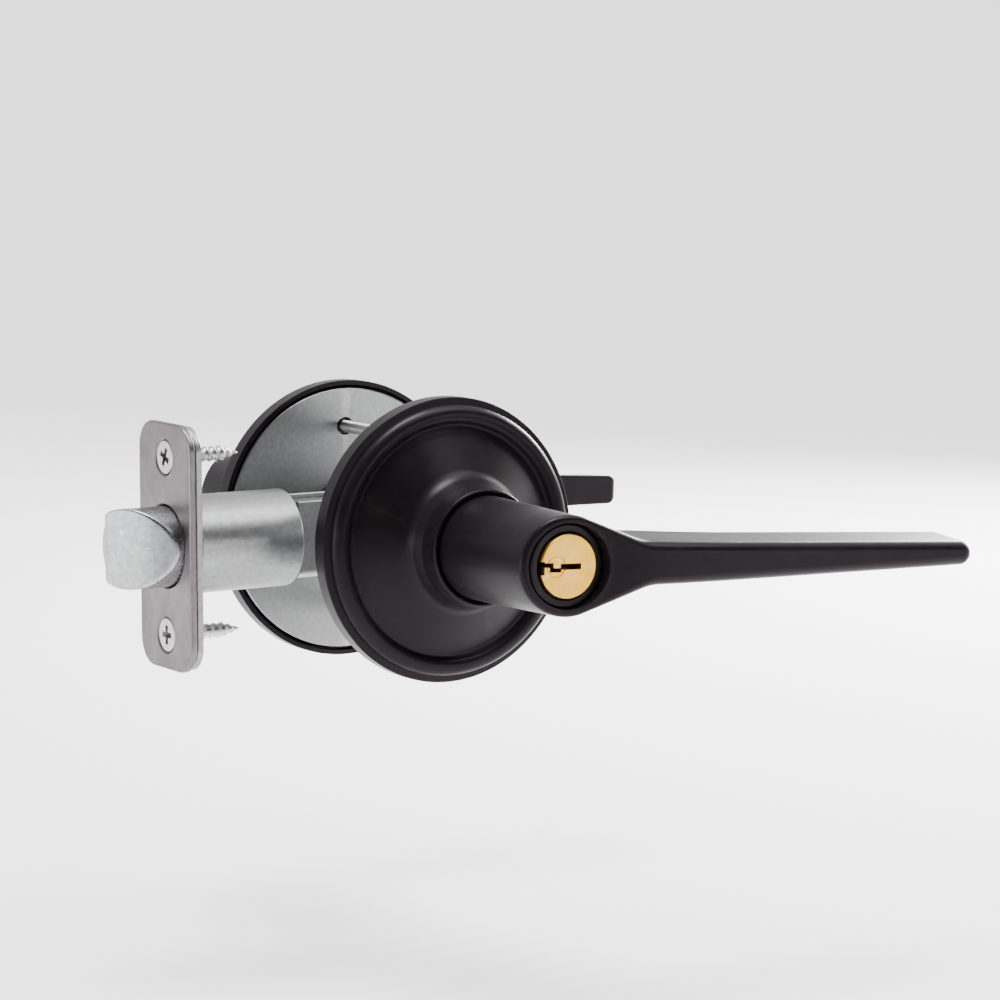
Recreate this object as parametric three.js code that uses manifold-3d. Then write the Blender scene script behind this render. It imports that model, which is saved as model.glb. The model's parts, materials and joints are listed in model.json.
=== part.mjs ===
// Keyed lever lockset: an outside lever with a key cylinder, an inside lever with a turn button,
// and the spring latch that both levers draw back.
// Millimetres, +Z up. The spindle turns about the Y axis, -Y is the outside of the door, and +X runs
// from the door's edge towards the lever tips. The origin is on the spindle axis, in the door's outside face.
import * as THREE from "three";
import { mergeVertices } from "three/addons/utils/BufferGeometryUtils.js";
import Module from "manifold-3d";

const GAP = 0.3; // kept between pieces that touch
const DOOR = 44.45; // thickness of the door between the roses
const MIDDLE = DOOR / 2; // the latch lies in the middle of the door
const BACKSET = 60.325; // from the door's edge to the spindle axis

const ROSE_RADIUS = 33.35;
const ROSE_WALL = 1.1;
const COLLAR_RADIUS = 13.6;
const COLLAR_HEIGHT = 20.5;
const PLATE_RADIUS = 31.5;
const PLATE_THICK = 2.2;
const BEARING_RADIUS = 13;
const BEARING_LENGTH = 8;

const HUB_BACK = 11.6; // heights above the door's face: where a lever's hub begins
const HUB_FRONT = 55; // and where its cylinder or cap ends, on the spindle axis
const HUB_BACK_RADIUS = 12.15;
const HUB_FRONT_RADIUS = 11.45;
const HUB_BORE_RADIUS = 9.7;
const HUB_REACH = 63; // taller than any front face, which is cut to shape afterwards
const FACE_PROUD = 1.2; // the hub's front face, on the axis, in front of the cylinder
const FACE_RISE = 0.17; // the front face of the hub rises towards the lever bar at this slope
const FAIRING_BACK = 38; // where the bar's back face has curved into the hub
const FAIRING_SLOPE = 20.5; // degrees between the fairing's straight sides and the bar's middle line
const FAIRING_END = 17; // distance from the axis at which the fairing's sides begin to bend into the bar
const BAR_NECK = 21.5; // and at which they have become the bar's
const BAR_LENGTH = 109.4;
const BAR_HALF_HEIGHT = 5.36; // of the bar's front, carried back to the axis
const BAR_TAPER = 0.0253;
const BAR_LIFT = 0.37; // of the bar's middle line above the axis
const BAR_DRAFT = 0.08; // the bar grows taller towards its back at this slope
const BAR_DEPTH = 13.5;
const BAR_FRONT = 61; // height of the bar's flat front face
const DROOP = 2.6; // degrees of free play that a lever's own weight takes up

const SPINDLE_RADIUS = 9.4;
const SPINDLE_BORE = 7.6;
const SPINDLE_TOP = 25.2;
const DRIVE_SIDE = 6.6; // square drive bar through the latch
const DRIVE_BORE_RADIUS = 2.3;
const POST_OFFSET = 22.3; // of the two mounting posts, above and below the spindle
const POST_RADIUS = 3.4;
const SCREW_RADIUS = 1.9;

const CYLINDER_RADIUS = 9.35;
const CYLINDER_LENGTH = 28;
const BIBLE_HALF_WIDTH = 2.7;
const BIBLE_REACH = 10.6;
const PLUG_RADIUS = 6.35;
const PLUG_FACE_RADIUS = 7.25;
const PLUG_PROUD = 0.9; // the plug's face, in front of its housing
const PIN_RADIUS = 1.1;
const PIN_COUNT = 5;
const PIN_PITCH = 3.97;
const FIRST_PIN = 6.6; // behind the cylinder's front face

const PLATE_WIDTH = 25.4; // latch faceplate
const PLATE_HEIGHT = 57.15;
const PLATE_CORNER = 6.35;
const SHEET = 1.6;
const PLATE_SCREW_OFFSET = 20.6;
const TUBE_RADIUS = 11.4;
const TUBE_BORE = 10.4;
const BOLT_RADIUS = 9.35;
const BOLT_THROW = 12.7;
const BOLT_FLAT = 5.5; // distance from the bolt's axis to the flat against the deadlatch plunger
const FINGER_REACH = 12; // from the spindle axis to the round tip of the finger that draws the bolt
const FINGER_TIP = 1.3;

// Colour, roughness and metalness.
const FINISHES = {
  black: [0x2b2728, 0.42, 0.35],
  brass: [0xd8b67c, 0.38, 0.9],
  nickel: [0xc9c8c6, 0.35, 0.85],
  pewter: [0x8d8486, 0.45, 0.8],
  steel: [0x9a9c9e, 0.4, 0.8],
  zinc: [0xa7a59f, 0.55, 0.7],
};

// Booleans

const wasm = await Module();
wasm.setup();
const WELD = 1e-4;

function solid(geometry) {
  const bare = new THREE.BufferGeometry();
  bare.setAttribute("position", geometry.getAttribute("position"));
  bare.setIndex(geometry.index);
  const welded = mergeVertices(bare, WELD);
  const mesh = new wasm.Mesh({
    numProp: 3,
    vertProperties: welded.getAttribute("position").array,
    triVerts: new Uint32Array(welded.index.array),
  });
  return new wasm.Manifold(mesh);
}

function surface(manifold) {
  const mesh = manifold.getMesh();
  const geometry = new THREE.BufferGeometry();
  geometry.setAttribute("position", new THREE.BufferAttribute(mesh.vertProperties, 3));
  geometry.setIndex(new THREE.BufferAttribute(mesh.triVerts, 1));
  geometry.computeVertexNormals();
  return geometry;
}

const cut = (body, ...tools) =>
  surface(tools.reduce((rest, tool) => rest.subtract(solid(tool)), solid(body)));
const join = (body, ...more) => surface(more.reduce((whole, one) => whole.add(solid(one)), solid(body)));
const common = (body, other) => surface(solid(body).intersect(solid(other)));

// Shapes along the axes

// A closed profile of [radius, position] turned about the Y axis; it runs up its outer side.
function turned(profile, segments = 32) {
  const points = profile.map(([radius, along]) => new THREE.Vector2(radius, along));
  return new THREE.LatheGeometry(points, segments);
}

function rod(radius, from, to, segments = 24) {
  return turned([[0, from], [radius, from], [radius, to], [0, to]], segments);
}

function sleeve(bore, radius, from, to, segments = 32) {
  return turned([[bore, from], [radius, from], [radius, to], [bore, to], [bore, from]], segments);
}

const alongX = (geometry, y = 0, z = 0) => geometry.rotateZ(-Math.PI / 2).translate(0, y, z);
const alongZ = (geometry, x = 0, y = 0) => geometry.rotateX(Math.PI / 2).translate(x, y, 0);

function block([x0, x1], [y0, y1], [z0, z1]) {
  const box = new THREE.BoxGeometry(x1 - x0, y1 - y0, z1 - z0);
  return box.translate((x0 + x1) / 2, (y0 + y1) / 2, (z0 + z1) / 2);
}

// A shape drawn in one plane of the frame, as a solid between two positions on the third axis.
const PLANES = {
  XY: [[1, 0, 0], [0, 1, 0], [0, 0, 1]],
  YZ: [[0, 1, 0], [0, 0, 1], [1, 0, 0]],
  XZ: [[1, 0, 0], [0, 0, 1], [0, -1, 0]],
};

function slab(shape, plane, from, to, curveSegments = 8) {
  const geometry = new THREE.ExtrudeGeometry(shape, { depth: to - from, bevelEnabled: false, curveSegments });
  const [u, v, w] = PLANES[plane].map((axis) => new THREE.Vector3(...axis));
  geometry.translate(0, 0, plane === "XZ" ? -to : from);
  return geometry.applyMatrix4(new THREE.Matrix4().makeBasis(u, v, w));
}

function roundedRectangle(width, height, corner) {
  const [w, h] = [width / 2 - corner, height / 2 - corner];
  const shape = new THREE.Shape();
  shape.absarc(w, h, corner, 0, Math.PI / 2);
  shape.absarc(-w, h, corner, Math.PI / 2, Math.PI);
  shape.absarc(-w, -h, corner, Math.PI, 1.5 * Math.PI);
  shape.absarc(w, -h, corner, 1.5 * Math.PI, 2 * Math.PI);
  return shape;
}

// A coil of round wire about the Y axis, its ends cut square.
function coil(radius, wire, from, to, turns, stepsPerTurn, sides) {
  const steps = turns * stepsPerTurn;
  const points = [];
  for (let i = 0; i <= steps; i++) {
    const angle = (2 * Math.PI * i) / stepsPerTurn;
    const along = from + wire + ((to - from - 2 * wire) * i) / steps;
    points.push(new THREE.Vector3(radius * Math.cos(angle), along, radius * Math.sin(angle)));
  }
  const section = new THREE.Shape();
  for (let i = 0; i < sides; i++) {
    const angle = (2 * Math.PI * i) / sides;
    section[i ? "lineTo" : "moveTo"](wire * Math.cos(angle), wire * Math.sin(angle));
  }
  const extrudePath = new THREE.CatmullRomCurve3(points);
  return new THREE.ExtrudeGeometry(section, { steps, extrudePath, bevelEnabled: false });
}

// Levers and roses, drawn on the outside of the door: heights above its face are negative Y

// The rose's outer face as [radius, height]: rim, round bead, cove, dome, and the fillet into the collar.
function roseFace() {
  const face = [[ROSE_RADIUS, 0], [ROSE_RADIUS, 3.6], [ROSE_RADIUS - 0.4, 4.1], [ROSE_RADIUS - 1.5, 4.3]];
  const bead = { r: 29.4, h: 4.5, radius: 2.3 };
  for (const degrees of [0, 30, 60, 90, 120, 145]) {
    const angle = THREE.MathUtils.degToRad(degrees);
    face.push([bead.r + bead.radius * Math.cos(angle), bead.h + bead.radius * Math.sin(angle)]);
  }
  face.push([26.6, 5.4], [25, 6.2], [18.6, 9.7], [16.6, 11.2], [15.1, 13.4]);
  face.push([COLLAR_RADIUS + 0.1, COLLAR_HEIGHT - 0.6], [COLLAR_RADIUS - 0.2, COLLAR_HEIGHT]);
  return face;
}

function rose() {
  const outer = roseFace();
  const bore = COLLAR_RADIUS - 0.8;
  const inner = [
    [bore, COLLAR_HEIGHT], [bore, 15.5], [15.2, 10.7], [18, 8.8], [25.4, 4.6], [28.6, 4.6],
    [31, 3], [ROSE_RADIUS - ROSE_WALL, 2.8], [ROSE_RADIUS - ROSE_WALL, 0],
  ];
  const profile = [...outer, ...inner, outer[0]];
  return turned(profile.map(([radius, height]) => [radius, -height]).reverse(), 48);
}

function mountingPlate(screwRadius) {
  const bore = SPINDLE_RADIUS + GAP;
  const body = turned([
    [bore, -BEARING_LENGTH], [BEARING_RADIUS, -BEARING_LENGTH], [BEARING_RADIUS, -PLATE_THICK],
    [PLATE_RADIUS, -PLATE_THICK], [PLATE_RADIUS, 0], [bore, 0], [bore, -BEARING_LENGTH],
  ], 40);
  const hole = rod(screwRadius, -PLATE_THICK - 1, 1, 16);
  const holes = [-1, 1].map((side) => hole.clone().translate(0, 0, side * POST_OFFSET));
  return cut(body, ...holes);
}

const spindleTube = () => cut(
  sleeve(SPINDLE_BORE, SPINDLE_RADIUS, -SPINDLE_TOP, 3, 32),
  alongZ(rod(2.4, 5, 12, 12), 0, -18),
);

const driverWasher = () => join(
  sleeve(SPINDLE_RADIUS + GAP, 14.6, -9.6, -8.3, 20),
  block([-2, 2], [-9.6, -4.5], [13.4, 14.9]),
);

function retainerRing() {
  const ring = sleeve(SPINDLE_RADIUS + GAP, 11.8, -11.2, -9.9, 18);
  return cut(ring, block([-2.2, 2.2], [-12, -9], [-13, -8]));
}

const returnSpring = () => coil(17.4, 0.7, -7.9, -2.6, 3, 14, 5);

// The bar from in front: the fairing's two straight sides, tangent to the hub, and the tapering bar.
function barFront() {
  const slope = THREE.MathUtils.degToRad(FAIRING_SLOPE);
  const side = (HUB_FRONT_RADIUS - 0.15) / Math.cos(slope);
  const fairing = (x) => side - x * Math.tan(slope);
  const half = (x) => BAR_HALF_HEIGHT - BAR_TAPER * x;
  const bend = (lift) => (side - BAR_HALF_HEIGHT - lift) / (Math.tan(slope) - BAR_TAPER);
  const [above, below] = [bend(BAR_LIFT), bend(-BAR_LIFT)];
  const start = side * Math.sin(slope) * Math.cos(slope);
  const tip = half(BAR_LENGTH);
  const shape = new THREE.Shape();
  shape.moveTo(start, -fairing(start));
  shape.lineTo(FAIRING_END, -fairing(FAIRING_END));
  shape.quadraticCurveTo(below, -fairing(below), BAR_NECK + 2, BAR_LIFT - half(BAR_NECK + 2));
  shape.absarc(BAR_LENGTH - tip, BAR_LIFT, tip, -Math.PI / 2, Math.PI / 2);
  shape.lineTo(BAR_NECK, BAR_LIFT + half(BAR_NECK));
  shape.quadraticCurveTo(above, fairing(above), FAIRING_END - 1, fairing(FAIRING_END - 1));
  shape.lineTo(start, fairing(start));
  return shape;
}

// Moves the bar's upper and lower sides apart towards its back, from nothing at the hub.
function drafted(geometry) {
  const position = geometry.getAttribute("position");
  for (let i = 0; i < position.count; i++) {
    const growth = THREE.MathUtils.smoothstep(position.getX(i), 4, BAR_NECK + 2) * BAR_DRAFT;
    const lifted = position.getZ(i) - BAR_LIFT;
    position.setZ(i, position.getZ(i) + Math.sign(lifted) * growth * (BAR_FRONT + position.getY(i)));
  }
  return geometry;
}

// The bar from above: a flat back, rounded at the tip, that curves into the hub.
function barBack() {
  const back = -BAR_FRONT + BAR_DEPTH;
  const shape = new THREE.Shape();
  shape.moveTo(0, -HUB_REACH);
  shape.lineTo(BAR_LENGTH, -HUB_REACH);
  shape.lineTo(BAR_LENGTH, back - 4);
  shape.quadraticCurveTo(BAR_LENGTH, back, BAR_LENGTH - 4, back);
  shape.lineTo(46, back);
  shape.quadraticCurveTo(20, back + 1, 6, -FAIRING_BACK);
  shape.lineTo(0, -FAIRING_BACK);
  return shape;
}

// What is cleared in front of a lever: its face slants up from the hub, levels out and rounds off at the tip.
function leverClearance() {
  const face = (x) => -HUB_FRONT - FACE_PROUD - FACE_RISE * x;
  const level = (BAR_FRONT - HUB_FRONT - FACE_PROUD) / FACE_RISE; // the slant would end here
  const shape = new THREE.Shape();
  shape.moveTo(-14, face(-14));
  shape.lineTo(16, face(16));
  shape.quadraticCurveTo(level, -BAR_FRONT, 46, -BAR_FRONT);
  shape.lineTo(BAR_LENGTH - 3, -BAR_FRONT);
  shape.quadraticCurveTo(BAR_LENGTH, -BAR_FRONT, BAR_LENGTH + 0.1, -BAR_FRONT + 3);
  shape.lineTo(BAR_LENGTH + 1, -HUB_REACH - 1);
  shape.lineTo(-14, -HUB_REACH - 1);
  return shape;
}

function lever() {
  const hub = turned([
    [0, -HUB_REACH], [HUB_FRONT_RADIUS, -HUB_REACH], [HUB_FRONT_RADIUS, -HUB_FRONT],
    [HUB_BACK_RADIUS, -20], [HUB_BACK_RADIUS, -HUB_BACK], [0, -HUB_BACK],
  ], 56);
  const bar = common(
    drafted(slab(barFront(), "XZ", -HUB_REACH, -FAIRING_BACK, 8)),
    slab(barBack(), "XY", -14, 14, 6),
  );
  const slot = BIBLE_HALF_WIDTH + GAP;
  return cut(
    join(hub, bar),
    slab(leverClearance(), "XY", -14, 14, 6),
    rod(HUB_BORE_RADIUS, -HUB_REACH - 1, 0, 44),
    block([0, BIBLE_REACH + GAP], [-HUB_FRONT + 2.6, 0], [-slot, slot]),
    alongZ(rod(1.9, 5, 14, 16), 0, -18),
  );
}

const leverCatch = () => alongZ(rod(1.6, 7, 11.3, 16), 0, -18);

// Key cylinder

const CYLINDER_BACK = -HUB_FRONT + CYLINDER_LENGTH;
const pinPosition = (i) => -HUB_FRONT + FIRST_PIN + i * PIN_PITCH;
const pinHole = (i, from, to) => alongX(rod(PIN_RADIUS + GAP, from, to, 12), pinPosition(i));
const pins = Array.from({ length: PIN_COUNT }, (_, i) => i);

function cylinderHousing() {
  const round = rod(CYLINDER_RADIUS, -HUB_FRONT, CYLINDER_BACK, 44);
  const bible = block(
    [4, BIBLE_REACH], [-HUB_FRONT + 3, CYLINDER_BACK], [-BIBLE_HALF_WIDTH, BIBLE_HALF_WIDTH],
  );
  const plugBore = rod(PLUG_RADIUS + GAP, -HUB_FRONT - 1, 0, 28);
  const faceBore = rod(PLUG_FACE_RADIUS + GAP, -HUB_FRONT - 1, -HUB_FRONT + 2.1, 40);
  return cut(join(round, bible), plugBore, faceBore, ...pins.map((i) => pinHole(i, 0, BIBLE_REACH - 0.8)));
}

// The warded slot, which widens where it opens at the plug's side.
function keyway() {
  const shape = new THREE.Shape();
  const outline = [
    [-8, 1.2], [-6.3, 1.2], [-6.3, 0.9], [-4, 0.9], [-4, -0.25], [-2.2, -0.25], [-2.2, 0.65], [3.2, 0.65],
    [3.2, -0.7], [-2, -0.7], [-2, -1.25], [-5, -1.25], [-5, -0.15], [-6.3, -0.15], [-6.3, -1.8], [-8, -1.8],
  ];
  outline.forEach(([x, z], i) => shape[i ? "lineTo" : "moveTo"](x, z));
  return slab(shape, "XZ", -HUB_FRONT - 2, CYLINDER_BACK - 3);
}

function keyPlug() {
  const front = -HUB_FRONT - PLUG_PROUD;
  const [shoulder, back] = [-HUB_FRONT + 1.8, CYLINDER_BACK + 1.6];
  const round = turned([
    [0, front], [PLUG_FACE_RADIUS - 0.3, front], [PLUG_FACE_RADIUS, front + 0.3],
    [PLUG_FACE_RADIUS, shoulder], [PLUG_RADIUS, shoulder], [PLUG_RADIUS, back], [0, back],
  ], 40);
  const tailSlot = block([-1.1, 1.1], [back - 2.5, back + 1], [-3, 3]);
  return cut(round, keyway(), tailSlot, ...pins.map((i) => pinHole(i, 1.6, 8)));
}

// A key pin stands on the keyway's edge and reaches the shear line; a driver pin waits beyond it.
const pinEnds = [[0, 1.9], [PIN_RADIUS, 2.8], [PIN_RADIUS, 6.2], [0, 6.2]];
const keyPin = (i) => alongX(turned(pinEnds, 10), pinPosition(i));
const driverPin = (i) => alongX(rod(PIN_RADIUS, 6.8, 8.2, 10), pinPosition(i));

const plugClip = () => cut(
  sleeve(PLUG_RADIUS + GAP, 8.4, CYLINDER_BACK + GAP, CYLINDER_BACK + 1.3, 16),
  block([-1.8, 1.8], [CYLINDER_BACK, CYLINDER_BACK + 2], [-10, -5]),
);

const tailpiece = () => block([-0.8, 0.8], [CYLINDER_BACK - 0.6, 9], [-1.9, 1.9]);

// Spindle through the latch

function driveBar() {
  const half = DRIVE_SIDE / 2;
  const bar = block([-half, half], [-1, DOOR + 1], [-half, half]);
  return cut(bar, rod(DRIVE_BORE_RADIUS, -2, DOOR + 2, 20));
}

// The tube's closed end, keyed on the drive bar.
function spindleEnd() {
  const hole = DRIVE_SIDE / 2 + GAP;
  return cut(rod(SPINDLE_BORE - GAP, -3, 2.4, 20), block([-hole, hole], [-4, 4], [-hole, hole]));
}

// Turn button of the inside lever, drawn on the outside like the rest of its lever

const buttonCap = () => sleeve(4.6, CYLINDER_RADIUS, -HUB_FRONT, -HUB_FRONT + 4, 44);

// Cup behind the cap that holds the button's flange, with a guide hole for the lock bar in its floor.
function buttonHousing() {
  const [mouth, floor] = [-HUB_FRONT + 4.3, -SPINDLE_TOP - GAP];
  return turned([
    [2, floor - 2], [6.6, floor - 2], [6.6, mouth], [CYLINDER_RADIUS, mouth],
    [CYLINDER_RADIUS, floor], [2, floor], [2, floor - 2],
  ], 20);
}

function turnButton() {
  const round = rod(4.2, -HUB_FRONT - 1, -HUB_FRONT + 5, 20);
  const grip = slab(roundedRectangle(7.4, 2.2, 1), "XZ", -HUB_FRONT - 4.4, -HUB_FRONT, 2);
  const flange = rod(6.2, -HUB_FRONT + 4.3, -HUB_FRONT + 5.6, 20);
  return join(round, grip, flange);
}

const lockBar = () => rod(1.7, -HUB_FRONT + 5.9, DOOR - 9.6, 16);

// Latch, along X in the middle of the door

const edgeX = (depth) => -BACKSET + depth;

function faceplate() {
  const outline = roundedRectangle(PLATE_WIDTH, PLATE_HEIGHT, PLATE_CORNER);
  const plate = slab(outline, "YZ", edgeX(0), edgeX(SHEET), 6);
  const hole = alongX(rod(BOLT_RADIUS + GAP, edgeX(-1), edgeX(4), 40));
  const [front, back] = [edgeX(-0.1), edgeX(2.2)];
  const cone = [[0, front], [4.4, front], [2.2, back], [0, back]];
  const sinks = [-1, 1].map((side) => alongX(turned(cone, 20), 0, side * PLATE_SCREW_OFFSET));
  return cut(plate, hole, ...sinks).translate(0, MIDDLE, 0);
}

function backPlate() {
  const [near, far] = [edgeX(SHEET + GAP), edgeX(2 * SHEET + GAP)];
  const outline = roundedRectangle(PLATE_WIDTH - 1, PLATE_HEIGHT - 1, PLATE_CORNER - 0.5);
  const plate = slab(outline, "YZ", near, far, 3);
  const hole = alongX(rod(BOLT_RADIUS + GAP, near - 1, far + 1, 28));
  const screwHole = (side) => alongX(rod(3.2, near - 1, far + 1, 14), 0, side * PLATE_SCREW_OFFSET);
  return cut(plate, hole, screwHole(1), screwHole(-1)).translate(0, MIDDLE, 0);
}

// Flat-head wood screw with a cross recess, its head flush with the faceplate.
function plateScrew(side, turn) {
  const [head, neck, end] = [edgeX(0.15), edgeX(2.1), edgeX(19)];
  const body = turned([[0, head], [3.9, head], [1.9, neck], [1.75, end - 4], [0.3, end], [0, end]], 20);
  const across = { long: 2.2, thin: 0.55, deep: 1.3 };
  const slots = [[across.long, across.thin], [across.thin, across.long]].map(([y, z]) =>
    block([head - 1, head + across.deep], [-y, y], [-z, z]).rotateX(THREE.MathUtils.degToRad(turn)));
  return cut(alongX(body), ...slots).translate(0, MIDDLE, side * PLATE_SCREW_OFFSET);
}

const latchTube = () => alongX(sleeve(TUBE_BORE, TUBE_RADIUS, edgeX(3.8), -30, 44), MIDDLE);

// Round bolt with a flat for the plunger and a slant that meets the strike.
function latchBolt() {
  const [front, back] = [edgeX(-BOLT_THROW), -50];
  const round = alongX(rod(BOLT_RADIUS, front, back, 40));
  const flat = block([front - 1, back + 1], [BOLT_FLAT, 12], [-12, 12]);
  const slant = new THREE.Shape();
  slant.moveTo(front - 2, -12);
  slant.lineTo(edgeX(-0.6), -12);
  slant.lineTo(edgeX(-1.5), -BOLT_RADIUS);
  slant.quadraticCurveTo(edgeX(-6.9), -6.3, front, BOLT_FLAT - 1.4);
  slant.lineTo(front - 2, BOLT_FLAT - 1.4);
  const notch = block([back - 2.6, back + 1], [-5, 5], [6.2, 12]);
  return cut(round, flat, slab(slant, "XY", -12, 12, 5), notch).translate(0, MIDDLE, 0);
}

function plunger() {
  const [front, back] = [edgeX(-BOLT_THROW + 1.2), -50];
  const round = alongX(rod(BOLT_RADIUS, front, back, 40));
  const inside = block([front - 1, back + 1], [BOLT_FLAT + GAP, 12], [-12, 12]);
  return common(round, inside).translate(0, MIDDLE, 0);
}

// Strip that ties the bolt to the cam finger: a window for the finger and a hook that it pushes.
function drawbar() {
  const strip = block([-52.2, 1], [-4.6, 4.6], [6.6, 8]);
  const upright = block([-0.5, 1], [-4.6, 4.6], [7.3, 11.8]);
  const hook = block([-4.4, 0.2], [-4.6, 4.6], [9.8, 11.8]);
  const window = block([-10.6, -0.5], [-2.2, 2.2], [6, 9]);
  return cut(join(strip, upright, hook), window).translate(0, MIDDLE, 0);
}

// Hub on the drive bar, with a round-tipped finger leaning 30 degrees back from upright.
function retractorCam() {
  const hub = rod(6, MIDDLE - 6, MIDDLE + 6, 24);
  const arm = block([-0.9, 0.9], [MIDDLE - 1.6, MIDDLE + 1.6], [4, FINGER_REACH]);
  const tip = rod(FINGER_TIP, MIDDLE - 1.6, MIDDLE + 1.6, 16).translate(0, 0, FINGER_REACH);
  const finger = join(arm, tip).rotateY(THREE.MathUtils.degToRad(-30));
  const hole = DRIVE_SIDE / 2 + GAP;
  return cut(join(hub, finger), block([-hole, hole], [MIDDLE - 7, MIDDLE + 7], [-hole, hole]));
}

// Two side plates and a web below, open above for the finger and behind for the drawbar.
function latchCase() {
  const [start, end] = [-29.4, 14];
  const outer = block([start, end], [MIDDLE - 7.6, MIDDLE + 7.6], [-9, 9]);
  const inner = block([start - 1, end + 1], [MIDDLE - 6.4, MIDDLE + 6.4], [-7.8, 12]);
  return cut(outer, inner, rod(5.1, 0, DOOR, 20));
}

function springSeat() {
  const disc = alongX(rod(TUBE_BORE - GAP, -32, -30.6, 24));
  return cut(disc, block([-33, -30], [-5, 5], [6.2, 12])).translate(0, MIDDLE, 0);
}

const boltSpring = () => alongX(coil(3.6, 0.45, -49.6, -32.4, 7, 9, 4), MIDDLE);
const plungerSpring = () => alongX(coil(1.15, 0.25, -49.6, -32.4, 8, 7, 4), MIDDLE + 7.6);

// Mounting hardware

const post = (side) => sleeve(SCREW_RADIUS, POST_RADIUS, GAP, 27, 16).translate(0, 0, side * POST_OFFSET);

// Machine screw from the inside plate into its post.
function throughScrew(side) {
  const [head, end] = [DOOR + PLATE_THICK + GAP, 12];
  const body = turned([
    [0, end], [1.55, end], [1.55, head], [3.6, head], [3.6, head + 1.4], [2.6, head + 2.4], [0, head + 2.4],
  ], 20);
  const slots = [[1.9, 0.45], [0.45, 1.9]].map(([x, z]) => block([-x, x], [head + 1, head + 3], [-z, z]));
  return cut(body, ...slots).translate(0, 0, side * POST_OFFSET);
}

// Assembly

function piece(name, geometry, finish) {
  const [color, roughness, metalness] = FINISHES[finish];
  const mesh = new THREE.Mesh(geometry, new THREE.MeshStandardMaterial({ color, roughness, metalness }));
  mesh.name = name;
  return mesh;
}

function group(...children) {
  return new THREE.Group().add(...children);
}

const drooping = (...children) => {
  const tilted = group(...children);
  tilted.rotation.y = THREE.MathUtils.degToRad(DROOP);
  return tilted;
};

// Turns what is drawn on the outside of the door over to its inside, with its bar still towards +X.
const turnedInside = (...children) => {
  const over = group(...children);
  over.rotation.x = Math.PI;
  over.position.y = DOOR;
  return over;
};

const rosette = (side) => [
  piece(`${side}_rose`, rose(), "black"),
  piece(`${side}_mounting_plate`, mountingPlate(SCREW_RADIUS + GAP), "zinc"),
  piece(`${side}_spindle_tube`, spindleTube(), "steel"),
  piece(`${side}_spindle_end`, spindleEnd(), "steel"),
  piece(`${side}_driver_washer`, driverWasher(), "steel"),
  piece(`${side}_retainer_ring`, retainerRing(), "steel"),
  piece(`${side}_return_spring`, returnSpring(), "steel"),
];

const outsideLever = drooping(
  piece("outside_lever", lever(), "black"),
  piece("outside_lever_catch", leverCatch(), "steel"),
  piece("cylinder_housing", cylinderHousing(), "black"),
  ...pins.map((i) => piece(`driver_pin_${i + 1}`, driverPin(i), "brass")),
  piece("key_plug", keyPlug(), "brass"),
  piece("plug_clip", plugClip(), "steel"),
  ...pins.map((i) => piece(`key_pin_${i + 1}`, keyPin(i), "brass")),
  piece("tailpiece", tailpiece(), "steel"),
);

const insideLever = drooping(turnedInside(
  piece("inside_lever", lever(), "black"),
  piece("inside_lever_catch", leverCatch(), "steel"),
  piece("button_cap", buttonCap(), "black"),
  piece("button_housing", buttonHousing(), "steel"),
  piece("turn_button", turnButton(), "black"),
  piece("lock_bar", lockBar(), "steel"),
));

const latch = group(
  piece("latch_faceplate", faceplate(), "pewter"),
  piece("latch_back_plate", backPlate(), "steel"),
  piece("faceplate_screw_upper", plateScrew(1, 24), "nickel"),
  piece("faceplate_screw_lower", plateScrew(-1, 0), "nickel"),
  piece("latch_tube", latchTube(), "steel"),
  piece("latch_case", latchCase(), "steel"),
  piece("spring_seat", springSeat(), "steel"),
  piece("latch_bolt", latchBolt(), "nickel"),
  piece("bolt_drawbar", drawbar(), "steel"),
  piece("deadlatch_plunger", plunger(), "nickel"),
  piece("bolt_spring", boltSpring(), "steel"),
  piece("plunger_spring", plungerSpring(), "steel"),
  piece("retractor_cam", retractorCam(), "steel"),
);

const fastening = group(
  piece("drive_bar", driveBar(), "steel"),
  piece("mounting_post_upper", post(1), "steel"),
  piece("mounting_post_lower", post(-1), "steel"),
  piece("through_screw_upper", throughScrew(1), "steel"),
  piece("through_screw_lower", throughScrew(-1), "steel"),
);

const lockset = group(
  ...rosette("outside"),
  turnedInside(...rosette("inside")),
  outsideLever,
  insideLever,
  latch,
  fastening,
);

export default lockset;
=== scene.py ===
"""Looks of a keyed lever lockset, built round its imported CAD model.

The frame is the CAD's: metres, +Z up, -Y the outside of the door, +X from the door's edge towards the
lever tips, and the spindle on the Y axis. Shapes are drawn in millimetres, seen from the front of their
piece: x and y across it, and the height h along its axis. A place matrix then puts the piece in the frame.
"""

import json
import math

import bmesh
import bpy
from mathutils import Matrix, Vector


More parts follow.
